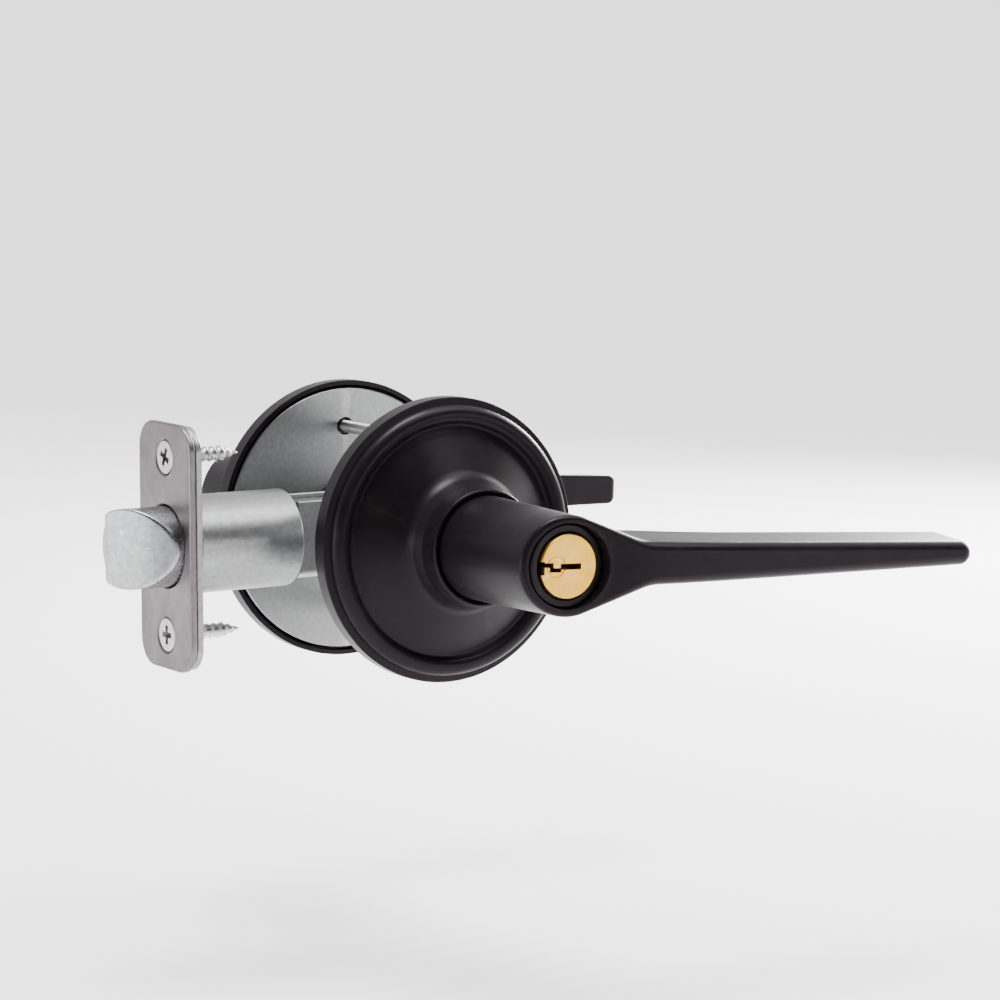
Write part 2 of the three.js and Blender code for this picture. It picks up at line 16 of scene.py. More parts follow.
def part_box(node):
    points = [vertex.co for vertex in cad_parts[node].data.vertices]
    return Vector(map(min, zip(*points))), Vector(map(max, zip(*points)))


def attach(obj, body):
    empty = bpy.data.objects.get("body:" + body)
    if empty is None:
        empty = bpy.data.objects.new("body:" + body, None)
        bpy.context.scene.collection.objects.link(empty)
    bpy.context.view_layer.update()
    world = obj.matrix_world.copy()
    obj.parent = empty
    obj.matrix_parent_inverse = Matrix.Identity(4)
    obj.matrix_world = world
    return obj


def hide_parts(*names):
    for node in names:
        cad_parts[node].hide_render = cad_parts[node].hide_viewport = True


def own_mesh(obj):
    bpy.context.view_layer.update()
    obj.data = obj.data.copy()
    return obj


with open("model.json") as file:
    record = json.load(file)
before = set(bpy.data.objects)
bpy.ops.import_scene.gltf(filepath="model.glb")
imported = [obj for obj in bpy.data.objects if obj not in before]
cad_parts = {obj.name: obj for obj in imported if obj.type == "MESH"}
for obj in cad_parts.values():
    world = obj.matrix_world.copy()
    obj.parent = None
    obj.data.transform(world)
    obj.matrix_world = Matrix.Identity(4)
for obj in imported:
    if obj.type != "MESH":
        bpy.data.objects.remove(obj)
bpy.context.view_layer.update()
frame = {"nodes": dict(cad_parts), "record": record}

MM = 0.001
FINE = 0.3  # gap kept between pieces that touch
AXIS = 1e-5  # radius of a turned shape where it closes on its axis
QUARTER = [math.radians(15 * k) for k in range(7)]  # steps round an edge
BODY_OF = {node: body for body, nodes in frame["record"]["behaviour"]["bodies"].items() for node in nodes}
SLOT_OF = {row["node"]: row["material_slot"] for row in frame["record"]["subparts"]}


def box(node):
    """The lowest and highest corner of a CAD node at rest, in millimetres."""
    return [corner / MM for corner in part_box(node)]


DOOR = box("inside_rose")[0].y  # the door's thickness; its outside face is at y = 0
MIDDLE = DOOR / 2
ROSE_RADIUS = box("outside_rose")[1].x
COLLAR_HEIGHT = -box("outside_rose")[0].y
BAR_FRONT, HUB_BACK = (-corner.y for corner in box("outside_lever"))
CYLINDER_FRONT, CYLINDER_BACK = (-corner.y for corner in box("cylinder_housing"))
CYLINDER_RADIUS = -box("cylinder_housing")[0].x
PLUG_FRONT = -box("key_plug")[0].y
PLATE_FRONT = box("latch_faceplate")[0].x
PLATE_BACK = box("latch_faceplate")[1].x

COLLAR_RADIUS = 13.6

# Lever: the hub, its slanted front face, and the bar
DROOP = 2.6  # degrees
HUB_RADIUS = 11.45  # at the cylinder's front face
HUB_TAPER = 0.02  # the hub grows wider towards the door at this slope
HUB_BORE = CYLINDER_RADIUS + 0.35
FACE_PROUD = 1.2  # of the front face before the cylinder's, at the axis
FACE_RISE = 0.17  # slope of the front face
EDGE = 1.15  # rounding of the hub's edges
BAR_EDGE = 2.2  # rounding of the bar's front edges
BACK_EDGE = 0.6
FAIRING_ANGLE = math.radians(20.5)
SLANT_END = 16  # distance from the axis at which the slanted front face begins to level out
BEND = 2.2  # on either side of where the fairing meets the bar
NECK = 23  # distance from the axis at which the cross-section has become the bar's
BAR_LENGTH = 109.4
BAR_DEPTH = 13.5
BAR_HALF = 5.36  # half the height of the bar's front, carried back to the spindle
BAR_TAPER = 0.0253  # slope of its upper and lower edges
BAR_LIFT = 0.37  # of the bar's middle line
BAR_DRAFT = 0.08  # the bar grows taller towards its back at this slope
LEVEL = 46  # distance at which the bar's front and back become level
FAIRING_BACK = 38
FRONT_TIP = 3  # rounding of the front face at the tip
BACK_TIP = 2.4
TIP = BAR_HALF - BAR_TAPER * BAR_LENGTH  # radius of the bar's end, seen from the front

# Latch
BOLT_FLAT = 5.5
SCREW_OFFSET = 20.6
POST_OFFSET = 22.3

# Places: h runs out of the door on the outside or the inside, or into it from its edge
OUTSIDE = Matrix(((1, 0, 0, 0), (0, 0, -1, 0), (0, 1, 0, 0), (0, 0, 0, 1)))
INSIDE = Matrix.Translation((0, DOOR, 0)) @ Matrix.Rotation(math.pi, 4, "X") @ OUTSIDE
HANGING = Matrix.Rotation(math.radians(DROOP), 4, "Y")
EDGEWISE = Matrix.Translation((0, MIDDLE, 0)) @ Matrix((
    (0, 0, 1, 0), (1, 0, 0, 0), (0, 1, 0, 0), (0, 0, 0, 1),
))
SIDES = {"outside": OUTSIDE, "inside": INSIDE}


# Outlines

def rounded(points, steps=6):
    """A closed outline from corners (x, y) or (x, y, radius), where a radius rounds the corner."""
    path = []
    for i, (x, y, *radius) in enumerate(points):
        here = Vector((x, y))
        if not radius:
            path.append(here)
            continue
        before = (Vector(points[i - 1][:2]) - here).normalized()
        after = (Vector(points[(i + 1) % len(points)][:2]) - here).normalized()
        half = before.angle(after) / 2
        centre = here + (before + after).normalized() * radius[0] / math.sin(half)
        reach = radius[0] / math.tan(half)
        first, last = here + before * reach - centre, here + after * reach - centre
        for k in range(steps + 1):
            path.append(centre + first.lerp(last, k / steps).normalized() * radius[0])
    return path


def arc(x, y, radius, start, end, steps):
    """Points on a circle, between two angles in degrees."""
    angles = [math.radians(start + (end - start) * k / steps) for k in range(steps + 1)]
    return [Vector((x + radius * math.cos(a), y + radius * math.sin(a))) for a in angles]


def circle(radius, count=96):
    return arc(0, 0, radius, 0, 360, count)[:-1]


def rectangle(width, height, corner):
    w, h = width / 2, height / 2
    return rounded([(w, -h, corner), (w, h, corner), (-w, h, corner), (-w, -h, corner)])


def inset(outline, distance):
    """An anticlockwise outline, moved inward."""
    path = []
    for before, here, after in zip(outline[-1:] + outline[:-1], outline, outline[1:] + outline[:1]):
        a = (here - before).normalized()
        b = (after - here).normalized()
        inward = Vector((-a.y - b.y, a.x + b.x)).normalized()
        path.append(here + inward * distance / max(inward.dot(Vector((-a.y, a.x))), 0.5))
    return path


def curve_at(x, start, middle, end):
    """The height at x of a quadratic curve from start to end that heads for middle at both ends."""
    a = start[0] - 2 * middle[0] + end[0]
    b = middle[0] - start[0]
    c = start[0] - x
    root = math.sqrt(max(b * b - a * c, 0))
    options = [-c / (2 * b)] if abs(a) < 1e-9 else [(-b + root) / a, (-b - root) / a]
    t = min(max(min(options, key=lambda value: abs(value - 0.5)), 0), 1)
    return start[1] * (1 - t) ** 2 + 2 * middle[1] * t * (1 - t) + end[1] * t * t


# Solids

def solid(rings, ring_shaped=False):
    """A skin over rings of equally many points. It ends in caps, or its last ring joins its first."""
    mesh = bmesh.new()
    loops = [[mesh.verts.new(point) for point in ring] for ring in rings]
    following = loops[1:] + loops[:1] if ring_shaped else loops[1:]
    for low, high in zip(loops, following):
        for i in range(len(low)):
            mesh.faces.new((low[i - 1], low[i], high[i], high[i - 1]))
    if not ring_shaped:
        mesh.faces.new(loops[0])
        mesh.faces.new(loops[-1])
    bmesh.ops.remove_doubles(mesh, verts=mesh.verts, dist=1e-4)
    bmesh.ops.recalc_face_normals(mesh, faces=mesh.faces)
    return mesh


def raised(outline, height):
    return [Vector((point.x, point.y, height)) for point in outline]


def turned(profile, count=96, hollow=False):
    """A profile of radius and height turned about the axis.

    A hollow one is a closed outline that stays off the axis.
    """
    rings = [raised(circle(max(point[0], AXIS), count), point[1]) for point in profile]
    return solid(rings, hollow)


def tube(bore, radius, low, high, steps):
    """A straight tube with softened edges."""
    ends = [(bore, low, 0.2), (radius, low, 0.3), (radius, high, 0.3), (bore, high, 0.2)]
    return turned(rounded(ends), steps, hollow=True)


def prism(outline, low, high, edge=0.0):
    """An outline between two heights, with its edges rounded."""
    if not edge:
        return solid([raised(outline, low), raised(outline, high)])
    bottom, top = [], []
    for angle in QUARTER:
        row, rise = inset(outline, edge * (1 - math.sin(angle))), edge * (1 - math.cos(angle))
        bottom.append(raised(row, low + rise))
        top.insert(0, raised(row, high - rise))
    return solid(bottom + top)


def faced(outline, front, back, edge, wall=None, rows=18):
    """A bar whose front end is the surface front(x, y), with rounded edges.

    wall is a list of (height, growth) between front and back, where growth widens the outline.
    """
    centre = sum(outline, Vector((0, 0))) / len(outline)
    inner = inset(outline, edge)
    rings = []
    for k in range(rows + 1):
        row = [centre.lerp(point, k / rows) for point in inner]
        rings.append([Vector((p.x, p.y, front(p.x, p.y))) for p in row])
    for angle in QUARTER[1:]:
        row, drop = inset(outline, edge * (1 - math.sin(angle))), edge * (1 - math.cos(angle))
        rings.append([Vector((p.x, p.y, front(p.x, p.y) - drop)) for p in row])
    growth = 0
    for height, growth in wall or []:
        rings.append(raised(inset(outline, -growth), height))
    for angle in reversed(QUARTER):
        row = inset(outline, edge * (1 - math.sin(angle)) - growth)
        rings.append(raised(row, back + edge * (1 - math.cos(angle))))
    rings.append(raised([centre] * len(outline), back))
    return solid(rings)


def boolean(operation, body, *tools):
    """The body with other solids joined to it or cut from it."""
    for tool in tools:
        objects = []
        for shape in (body, tool):
            data = bpy.data.meshes.new("shape")
            shape.to_mesh(data)
            shape.free()
            objects.append(bpy.data.objects.new("shape", data))
            bpy.context.scene.collection.objects.link(objects[-1])
        modifier = objects[0].modifiers.new("boolean", "BOOLEAN")
        modifier.operation = operation
        modifier.solver = "EXACT"
        modifier.object = objects[1]
        evaluated = objects[0].evaluated_get(bpy.context.evaluated_depsgraph_get())
        body = bmesh.new()
        body.from_mesh(evaluated.to_mesh())
        for item in objects:
            data = item.data
            bpy.data.objects.remove(item)
            bpy.data.meshes.remove(data)
    return body


def cut(body, *tools):
    return boolean("DIFFERENCE", body, *tools)


def join(body, *more):
    return boolean("UNION", body, *more)


def moved(mesh, x=0, y=0, h=0):
    bmesh.ops.translate(mesh, vec=(x, y, h), verts=mesh.verts)
    return mesh


def block(x, y, h, edge=0.0):
    """A block between pairs of limits, with its edges rounded."""
    outline = rectangle(x[1] - x[0], y[1] - y[0], edge or 0.01)
    return moved(prism(outline, *h, edge), (x[0] + x[1]) / 2, (y[0] + y[1]) / 2)


def coil(radius, wire, low, high, turns, steps=28, sides=10):
    """A spring of round wire about the axis, with a closed turn at each end."""
    rings = []
    count = turns * steps
    for k in range(count + 1):
        turn = k / steps
        spread = min(max((turn - 1) / (turns - 2), 0), 1)
        closed_turns = min(turn, 1) + max(turn - turns + 1, 0)
        height = low + wire + (high - low - 6 * wire) * spread + 2 * wire * closed_turns
        out = Vector((math.cos(2 * math.pi * turn), math.sin(2 * math.pi * turn), 0))
        centre = out * radius + Vector((0, 0, height))
        rings.append([centre + out * p.x + Vector((0, 0, p.y)) for p in circle(wire, sides)])
    return solid(rings)


def cross_recess(size, front, depth):
    """The tapering cross of a screwdriver's recess, cut into a head at height front; depth is signed."""
    arm = size * 0.28
    corners = [(size, -arm), (size, arm), (arm, arm), (arm, size), (-arm, size), (-arm, arm)]
    corners += [(-x, -y) for x, y in corners]
    outline = [Vector(corner) for corner in corners]
    deep = [point * 0.75 for point in outline]
    above = raised(outline, front - depth * 0.2)
    return solid([above, raised(outline, front), raised(deep, front + depth)])


def threaded(core, start, end, pitch, ridge, count=28, rows=6):
    """Rings of a shank from start to end: core(h) is its radius, with a helical ridge round it."""
    rings = []
    steps = math.ceil(abs(end - start) / pitch * rows)
    for k in range(steps + 1):
        h = start + (end - start) * k / steps
        ring = []
        for i in range(count):
            turn = i / count
            phase = (h / pitch - turn) % 1
            radius = core(h) + ridge * max(0, 1 - abs(phase - 0.5) / 0.3) * min(core(h), 1)
            angle = 2 * math.pi * turn
            ring.append(Vector((radius * math.cos(angle), radius * math.sin(angle), h)))
        rings.append(ring)
    return rings


# Finishes

EVEN = (1, 1, 1)  # neither stretched nor tinted


def finish(slot, color, shade, roughness, blotch, grain, wear_and_edge_sheen, metallic=1.0, specular=0.5, tint=EVEN):
    """A metal or painted surface in the record's material slot.

    color turns to shade in blotches of a size in mm; roughness is a range; grain is (size in mm, stretch
    along x, y and z, depth in mm); wear_and_edge_sheen is (colour, amount) on raised edges, which is rubbed
    wear on the metals and a painted highlight along the satin black's edges; specular and tint are the
    strength and colour of a painted surface's reflections.
    """
    material = bpy.data.materials.new(slot)
    material.use_nodes = True
    nodes, links = material.node_tree.nodes, material.node_tree.links
    shader = nodes["Principled BSDF"]
    shader.inputs["Metallic"].default_value = metallic
    shader.inputs["Specular IOR Level"].default_value = specular
    shader.inputs["Specular Tint"].default_value = (*tint, 1)
    place = nodes.new("ShaderNodeTexCoord").outputs["Object"]

    def noise(size, detail=3.0, stretch=(1, 1, 1)):
        mapping = nodes.new("ShaderNodeMapping")
        mapping.inputs["Scale"].default_value = [1 / (size * MM * part) for part in stretch]
        texture = nodes.new("ShaderNodeTexNoise")
        texture.inputs["Scale"].default_value = 1
        texture.inputs["Detail"].default_value = detail
        links.new(place, mapping.inputs["Vector"])
        links.new(mapping.outputs["Vector"], texture.inputs["Vector"])
        return texture.outputs["Fac"]

    def spread(value, source, target):
        node = nodes.new("ShaderNodeMapRange")
        for name, number in zip(("From Min", "From Max", "To Min", "To Max"), (*source, *target)):
            node.inputs[name].default_value = number
        links.new(value, node.inputs["Value"])
        return node.outputs["Result"]

    def mix(factor, first, second):
        node = nodes.new("ShaderNodeMix")
        node.data_type = "RGBA"
        links.new(factor, node.inputs["Factor"])
        for name, value in (("A", first), ("B", second)):
            socket = next(s for s in node.inputs if s.name == name and s.type == "RGBA")
            if isinstance(value, tuple):
                socket.default_value = (*value, 1)
            else:
                links.new(value, socket)
        return next(s for s in node.outputs if s.type == "RGBA")

    def product(first, second):
        node = nodes.new("ShaderNodeMath")
        node.operation = "MULTIPLY"
        links.new(first, node.inputs[0])
        links.new(second, node.inputs[1])
        return node.outputs["Value"]

    surface = mix(spread(noise(blotch), (0.35, 0.65), (0, 1)), color, shade)
    bend = nodes.new("ShaderNodeNewGeometry").outputs["Pointiness"]
    patches = spread(noise(blotch / 4), (0.3, 0.6), (0.3, 1))
    # Raised edges lighten towards the edge colour: rubbed wear on the metals, a painted highlight on the
    # satin black
    wear_and_sheen_mask = product(spread(bend, (0.52, 0.62), (0, wear_and_edge_sheen[1])), patches)
    links.new(mix(wear_and_sheen_mask, surface, wear_and_edge_sheen[0]), shader.inputs["Base Color"])
    links.new(spread(noise(blotch / 2, 5), (0.3, 0.7), roughness), shader.inputs["Roughness"])

    size, stretch, depth = grain
    bump = nodes.new("ShaderNodeBump")
    bump.inputs["Strength"].default_value = 1
    bump.inputs["Distance"].default_value = depth * MM
    links.new(noise(size, 2, stretch), bump.inputs["Height"])
    links.new(bump.outputs["Normal"], shader.inputs["Normal"])
    return material


LOOKS = {
    "satin_black": dict(
        color=(0.0052, 0.0038, 0.005), shade=(0.007, 0.0055, 0.0067), roughness=(0.3, 0.37), blotch=9,
        # the satin black's lighter edge colour is a painted highlight, standing for light caught by its
        # edges
        grain=(0.16, EVEN, 0.004), wear_and_edge_sheen=((0.022, 0.018, 0.017), 0.4),
        metallic=0.0, specular=0.13, tint=(1, 0.84, 0.95),
    ),
    "brass_plug": dict(
        color=(0.8, 0.44, 0.055), shade=(0.72, 0.385, 0.047), roughness=(0.30, 0.42), blotch=2.5,
        grain=(0.05, (40, 1, 1), 0.004), wear_and_edge_sheen=((0.95, 0.75, 0.45), 0.5),
    ),
    "nickel_bolt": dict(
        color=(0.44, 0.44, 0.45), shade=(0.33, 0.34, 0.36), roughness=(0.24, 0.36), blotch=1.4,
        grain=(0.3, EVEN, 0.008), wear_and_edge_sheen=((0.88, 0.88, 0.88), 0.8),
    ),
    "nickel_screw": dict(
        color=(0.52, 0.50, 0.50), shade=(0.44, 0.42, 0.42), roughness=(0.25, 0.4), blotch=1.5,
        grain=(0.08, EVEN, 0.004), wear_and_edge_sheen=((0.88, 0.86, 0.85), 0.5),
    ),
    "pewter_plate": dict(
        color=(0.17, 0.15, 0.157), shade=(0.14, 0.123, 0.129), roughness=(0.32, 0.44), blotch=5,
        grain=(0.06, (1, 1, 60), 0.003), wear_and_edge_sheen=((0.6, 0.56, 0.56), 0.6),
    ),
    "zinc_steel": dict(
        color=(0.30, 0.305, 0.315), shade=(0.25, 0.25, 0.248), roughness=(0.3, 0.42), blotch=1.2,
        grain=(0.12, EVEN, 0.005), wear_and_edge_sheen=((0.6, 0.6, 0.6), 0.5),
    ),
}
FINISHES = {slot: finish(slot, **look) for slot, look in LOOKS.items()}

# The small nodes that no piece replaces show as they are, in the same finishes
for name, node in frame["nodes"].items():
    node.data.materials.clear()
    node.data.materials.append(FINISHES[SLOT_OF[name]])


def piece(name, mesh, place, sharp=34):
    """Shows a solid in place of the CAD node of that name, on the node's body and in its finish."""
    mesh.transform(Matrix.Scale(MM, 4) @ place)
    data = bpy.data.meshes.new(name)
    mesh.to_mesh(data)
    mesh.free()
    data.shade_smooth()
    data.set_sharp_from_angle(angle=math.radians(sharp))
    data.materials.append(FINISHES[SLOT_OF[name]])
    item = bpy.data.objects.new(name + "_fine", data)
    bpy.context.scene.collection.objects.link(item)
    item.modifiers.new("normals", "WEIGHTED_NORMAL").keep_sharp = True
    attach(item, BODY_OF[name])
    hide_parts(name)
    return item


# Roses and what stands behind them

def rose():
    """Rim, bead, cove, dome and collar, with the shell's inner side."""
    bead = arc(29.4, 4.5, 2.3, 0, 135, 18)
    outer = rounded([
        (ROSE_RADIUS - 1.1, 0), (ROSE_RADIUS, 0, 0.15), (ROSE_RADIUS, 4.1, 0.4), (31.75, 4.35),
        *[(point.x, point.y) for point in bead],
        (27.0, 5.2, 0.8), (24.6, 6.4, 3.5), (15.4, 11.4, 5.0), (14.1, 15.8, 4.0),
        (COLLAR_RADIUS, COLLAR_HEIGHT, 0.45), (12.8, COLLAR_HEIGHT, 0.3),
        (12.8, 15.5), (15.2, 10.7), (18, 8.8), (25.4, 4.6), (28.6, 4.6), (31, 3), (ROSE_RADIUS - 1.1, 2.8),
    ], 10)
    return turned(outer, 160, hollow=True)


def mounting_plate():
    bore, height = 9.7, 8
    profile = rounded([
        (bore, 0), (31.5, 0, 0.4), (31.5, 2.2, 0.5), (13, 2.2, 0.6), (13, height, 0.4), (bore, height, 0.3),
    ])
    hole = [(0, -1), (2.2, -1), (2.2, 4), (0, 4)]
    holes = [moved(turned(hole, 32), 0, side * POST_OFFSET) for side in (-1, 1)]
    return cut(turned(profile, 96, hollow=True), *holes)


def spindle_tube():
    return tube(7.6, 9.4, -3, 25.2, 64)


for side, place in SIDES.items():
    piece(f"{side}_rose", rose(), place)
    piece(f"{side}_mounting_plate", mounting_plate(), place)
    piece(f"{side}_spindle_tube", spindle_tube(), place)
    piece(f"{side}_return_spring", coil(17.4, 0.7, 2.6, 7.9, 3), place)


# Levers

def face_height(x, y=0):
    """The front face: it slants up from the hub, levels out, and rounds off at the tip."""
    slant_end = CYLINDER_FRONT + FACE_PROUD + FACE_RISE * SLANT_END
    if x <= SLANT_END:
        return CYLINDER_FRONT + FACE_PROUD + FACE_RISE * x
    if x < LEVEL:
        knee = SLANT_END + (BAR_FRONT - slant_end) / FACE_RISE
        return curve_at(x, (SLANT_END, slant_end), (knee, BAR_FRONT), (LEVEL, BAR_FRONT))
    start, end = BAR_LENGTH - FRONT_TIP, BAR_FRONT - FRONT_TIP
    if x < start:
        return BAR_FRONT
    return curve_at(x, (start, BAR_FRONT), (BAR_LENGTH, BAR_FRONT), (BAR_LENGTH, end))


def back_height(x):
    """The bar's back face: it curves out of the hub, runs level, and rounds off at the tip."""
    level = BAR_FRONT - BAR_DEPTH
    rise, end = 6, BAR_LENGTH - BACK_TIP
    if x <= rise:
        return FAIRING_BACK
    if x < LEVEL:
        return curve_at(x, (LEVEL, level), (20, level - 1), (rise, FAIRING_BACK))
    if x < end:
        return level
    return curve_at(x, (end, level), (BAR_LENGTH, level), (BAR_LENGTH, level + BACK_TIP))


def reach(x, side):
    """How far the front of the bar reaches above (side 1) or below (side -1) the spindle at x."""
    slope = math.tan(FAIRING_ANGLE)
    fairing = (HUB_RADIUS - 0.04) / math.cos(FAIRING_ANGLE)  # tangent to the hub, just inside it
    bar = BAR_HALF + side * BAR_LIFT
    corner = (fairing - bar) / (slope - BAR_TAPER)
    if x <= corner - BEND:
        return fairing - slope * x
    if x >= corner + BEND:
        return bar - BAR_TAPER * x
    start = (corner - BEND, fairing - slope * (corner - BEND))
    end = (corner + BEND, bar - BAR_TAPER * (corner + BEND))
    return curve_at(x, start, (corner, bar - BAR_TAPER * corner), end)


def from_hub_to_bar(x, hub, bar):
    """A measure that changes smoothly from the hub's to the bar's."""
    t = min(max((x - 4) / (NECK - 4), 0), 1)
    return hub + (bar - hub) * t * t * (3 - 2 * t)


def bar_section(x):
    """The bar cut across at x, with rounded corners, and taller towards its back."""
    front, back = face_height(x), back_height(x)
    along = max(x - BAR_LENGTH + TIP, 0) / TIP
    narrowing = TIP * (1 - math.sqrt(max(1 - along ** 2, 0)))
    above, below = (max(reach(x, side) - narrowing, 1e-4) for side in (1, -1))
    draft = from_hub_to_bar(x, HUB_TAPER, BAR_DRAFT)
    rounding = from_hub_to_bar(x, EDGE, BAR_EDGE)
    slope = (reach(x + 0.01, 1) - reach(x, 1)) / 0.01
    ring = []
    for quarter, radius in enumerate((rounding, rounding, BACK_EDGE, BACK_EDGE)):
        side = above if quarter in (0, 3) else -below
        high = min(radius, (front - back) / 2, (above + below) / 2)
        wide = min(high * math.sqrt(1 + slope ** 2), abs(side))
        middle = side - math.copysign(wide, side)
        level = front - high if quarter < 2 else back + high
        for k in range(8):
            angle = (quarter + k / 7) * math.pi / 2
            h = level + high * math.sin(angle)
            spread = math.copysign(draft * (front - h) * min(1, above), side)
            ring.append(Vector((x, middle + spread + wide * math.cos(angle), h)))
    return ring


def lever():
    """The hub and the bar, bored for the cylinder. Stations along the bar are closest where it curves."""
    start = HUB_RADIUS * math.sin(FAIRING_ANGLE)
    stations = [start + (SLANT_END - start) * k / 12 for k in range(12)]
    stations += [SLANT_END + k / 2 for k in range(16)]
    stations += [SLANT_END + 8 + k for k in range(LEVEL - SLANT_END - 8)]
    stations += [LEVEL, 60, 75, 90, 100, BAR_LENGTH - 4.2]
    stations += [BAR_LENGTH - 4 + (4 - TIP) * k / 6 for k in range(6)]
    stations += [BAR_LENGTH - TIP + TIP * math.sin(math.radians(7.5 * k)) for k in range(13)]
    bar = solid([bar_section(x) for x in stations])
    wall = [(h, min(HUB_TAPER * (CYLINDER_FRONT - h), 0.7)) for h in (50, 40, 30, 20, 16)]
    hub = faced(circle(HUB_RADIUS, 144), face_height, HUB_BACK, EDGE, wall, rows=3)
    bore = turned([(0, 0), (HUB_BORE, 0), (HUB_BORE, 70), (0, 70)], 144)
    return cut(join(hub, bar), bore)


def bible():
    return block((3, 10.6), (-2.7, 2.7), (CYLINDER_BACK, CYLINDER_FRONT - 3), 0.3)


def cylinder_housing():
    body = turned(rounded([
        (0, CYLINDER_BACK), (CYLINDER_RADIUS, CYLINDER_BACK, 0.4), (CYLINDER_RADIUS, CYLINDER_FRONT, 0.35),
        (0, CYLINDER_FRONT),
    ]), 144)
    bore = turned([
        (0, 0), (6.65, 0), (6.65, CYLINDER_FRONT - 2.1),
        (7.6, CYLINDER_FRONT - 2.1), (7.6, CYLINDER_FRONT - 0.3),
        (7.9, CYLINDER_FRONT + 0.01), (7.9, 70), (0, 70),
    ], 144)
    return cut(join(body, bible()), bore)


def keyway():
    """The warded slot, which widens where it opens at the plug's side."""
    outline = [
        (-8, 1.2), (-6.3, 1.2), (-6.3, 0.9), (-4, 0.9),
        (-4, -0.25), (-2.2, -0.25), (-2.2, 0.65), (3.2, 0.65),
        (3.2, -0.7), (-2, -0.7), (-2, -1.25), (-5, -1.25),
        (-5, -0.15), (-6.3, -0.15), (-6.3, -1.8), (-8, -1.8),
    ]
    return prism([Vector(point) for point in reversed(outline)], CYLINDER_BACK + 3, CYLINDER_FRONT + 2)


def key_plug():
    front = PLUG_FRONT
    body = turned(rounded([
        (0, CYLINDER_BACK - 1.6), (6.35, CYLINDER_BACK - 1.6, 0.3), (6.35, CYLINDER_FRONT - 1.8),
        (7.25, CYLINDER_FRONT - 1.8), (7.25, front, 0.3), (0, front),
    ]), 144)
    groove = [(2.15, front - 0.2), (2.4, front - 0.2), (2.55, front + 0.2), (2.0, front + 0.2)]
    mark = moved(turned(groove, 72, hollow=True), -3.4)
    tail_slot = block((-1.1, 1.1), (-3, 3), (CYLINDER_BACK - 3, CYLINDER_BACK + 0.9))
    return cut(body, keyway(), mark, tail_slot)


def button_cap():
    top, bottom = CYLINDER_FRONT, CYLINDER_FRONT - 4
    return turned(rounded([
        (4.6, bottom), (CYLINDER_RADIUS, bottom, 0.2), (CYLINDER_RADIUS, top, 0.4), (4.6, top, 0.3),
    ]), 96, hollow=True)


def turn_button():
    top = CYLINDER_FRONT
    body = turned(rounded([
        (0, top - 5.6), (6.2, top - 5.6, 0.2), (6.2, top - 4.3, 0.2), (4.2, top - 4.3), (4.2, top + 1, 0.5),
        (0, top + 1),
    ]), 96)
    grip = prism(rectangle(7.4, 2.2, 1.05), top - 0.5, top + 4.4, 0.6)
    return join(body, grip)


def button_housing():
    floor, mouth = 25.5, CYLINDER_FRONT - 4.3
    return turned(rounded([
        (2, floor), (CYLINDER_RADIUS, floor, 0.8), (CYLINDER_RADIUS, mouth, 0.3), (6.6, mouth),
        (6.6, floor + 2), (2, floor + 2),
    ]), 64, hollow=True)


for side, place in SIDES.items():
    piece(f"{side}_lever", lever(), HANGING @ place)
piece("cylinder_housing", cylinder_housing(), HANGING @ OUTSIDE)
piece("key_plug", key_plug(), HANGING @ OUTSIDE)
piece("button_cap", button_cap(), HANGING @ INSIDE)
piece("button_housing", button_housing(), HANGING @ INSIDE)
piece("turn_button", turn_button(), HANGING @ INSIDE)


# Latch

def countersunk(plate, front, back, radius):
    """A plate with its bolt hole and its two countersunk screw holes."""
    hole = turned([
        (0, front - 1), (9.95, front - 1), (9.95, front),
        (9.65, front + 0.3), (9.65, back + 1), (0, back + 1),
    ], 96)
    sink = [
        (0, front - 1), (radius + 0.25, front - 1), (radius + 0.25, front), (radius, front + 0.25),
        (2.2, back + 0.5), (0, back + 0.5),
    ]
    sinks = [moved(turned(sink, 48), 0, side * SCREW_OFFSET) for side in (-1, 1)]
    return cut(plate, hole, *sinks)


def faceplate():
    plate = prism(rectangle(25.4, 57.15, 6.35), PLATE_FRONT, PLATE_BACK, 0.35)
    return countersunk(plate, PLATE_FRONT, PLATE_BACK, 4.25)


def back_plate():
    low, high = (corner.x for corner in box("latch_back_plate"))
    return countersunk(prism(rectangle(24.4, 56.15, 5.85), low, high, 0.3), low, high, 3.2)


def plate_screw(turn):
    """Flat-head wood screw, its recess turned by an angle in degrees."""
    head, end = (corner.x for corner in box("faceplate_screw_upper"))
    neck = head + 2
    shank, point = 1.45, 5  # radius, and length of the pointed end

    def core(h):
        return shank if h < end - point else shank * (end - h) / point + 0.12

    profile = [(AXIS, head), (3.7, head), (3.85, head + 0.12), (1.6, neck), (1.5, neck + 1)]
    rings = [raised(circle(radius, 28), h) for radius, h in profile]
    rings += threaded(core, neck + 1.2, end, 1.9, 0.45)
    rings.append(raised(circle(AXIS, 28), end))
    recess = cross_recess(2.2, head, 2.6)
    recess.transform(Matrix.Rotation(math.radians(turn), 4, "Z"))
    return cut(solid(rings), recess)


def latch_tube():
    low, high = (corner.x for corner in box("latch_tube"))
    return tube(10.4, 11.4, low, high, 96)


def latch_case():
    """A folded channel, open at the top, with a hole for the drive bar."""
    low, high = (corner.x for corner in box("latch_case"))
    outline = rounded([
        (-7.6, -9, 1.8), (7.6, -9, 1.8), (7.6, 9, 0.3), (6.4, 9, 0.3),
        (6.4, -7.8, 0.6), (-6.4, -7.8, 0.6), (-6.4, 9, 0.3), (-7.6, 9, 0.3),
    ])
    hole = turned([(0, -20), (5.1, -20), (5.1, 20), (0, 20)], 64)
    hole.transform(Matrix.Rotation(math.pi / 2, 4, "Y"))
    return cut(prism(outline, low, high), hole)


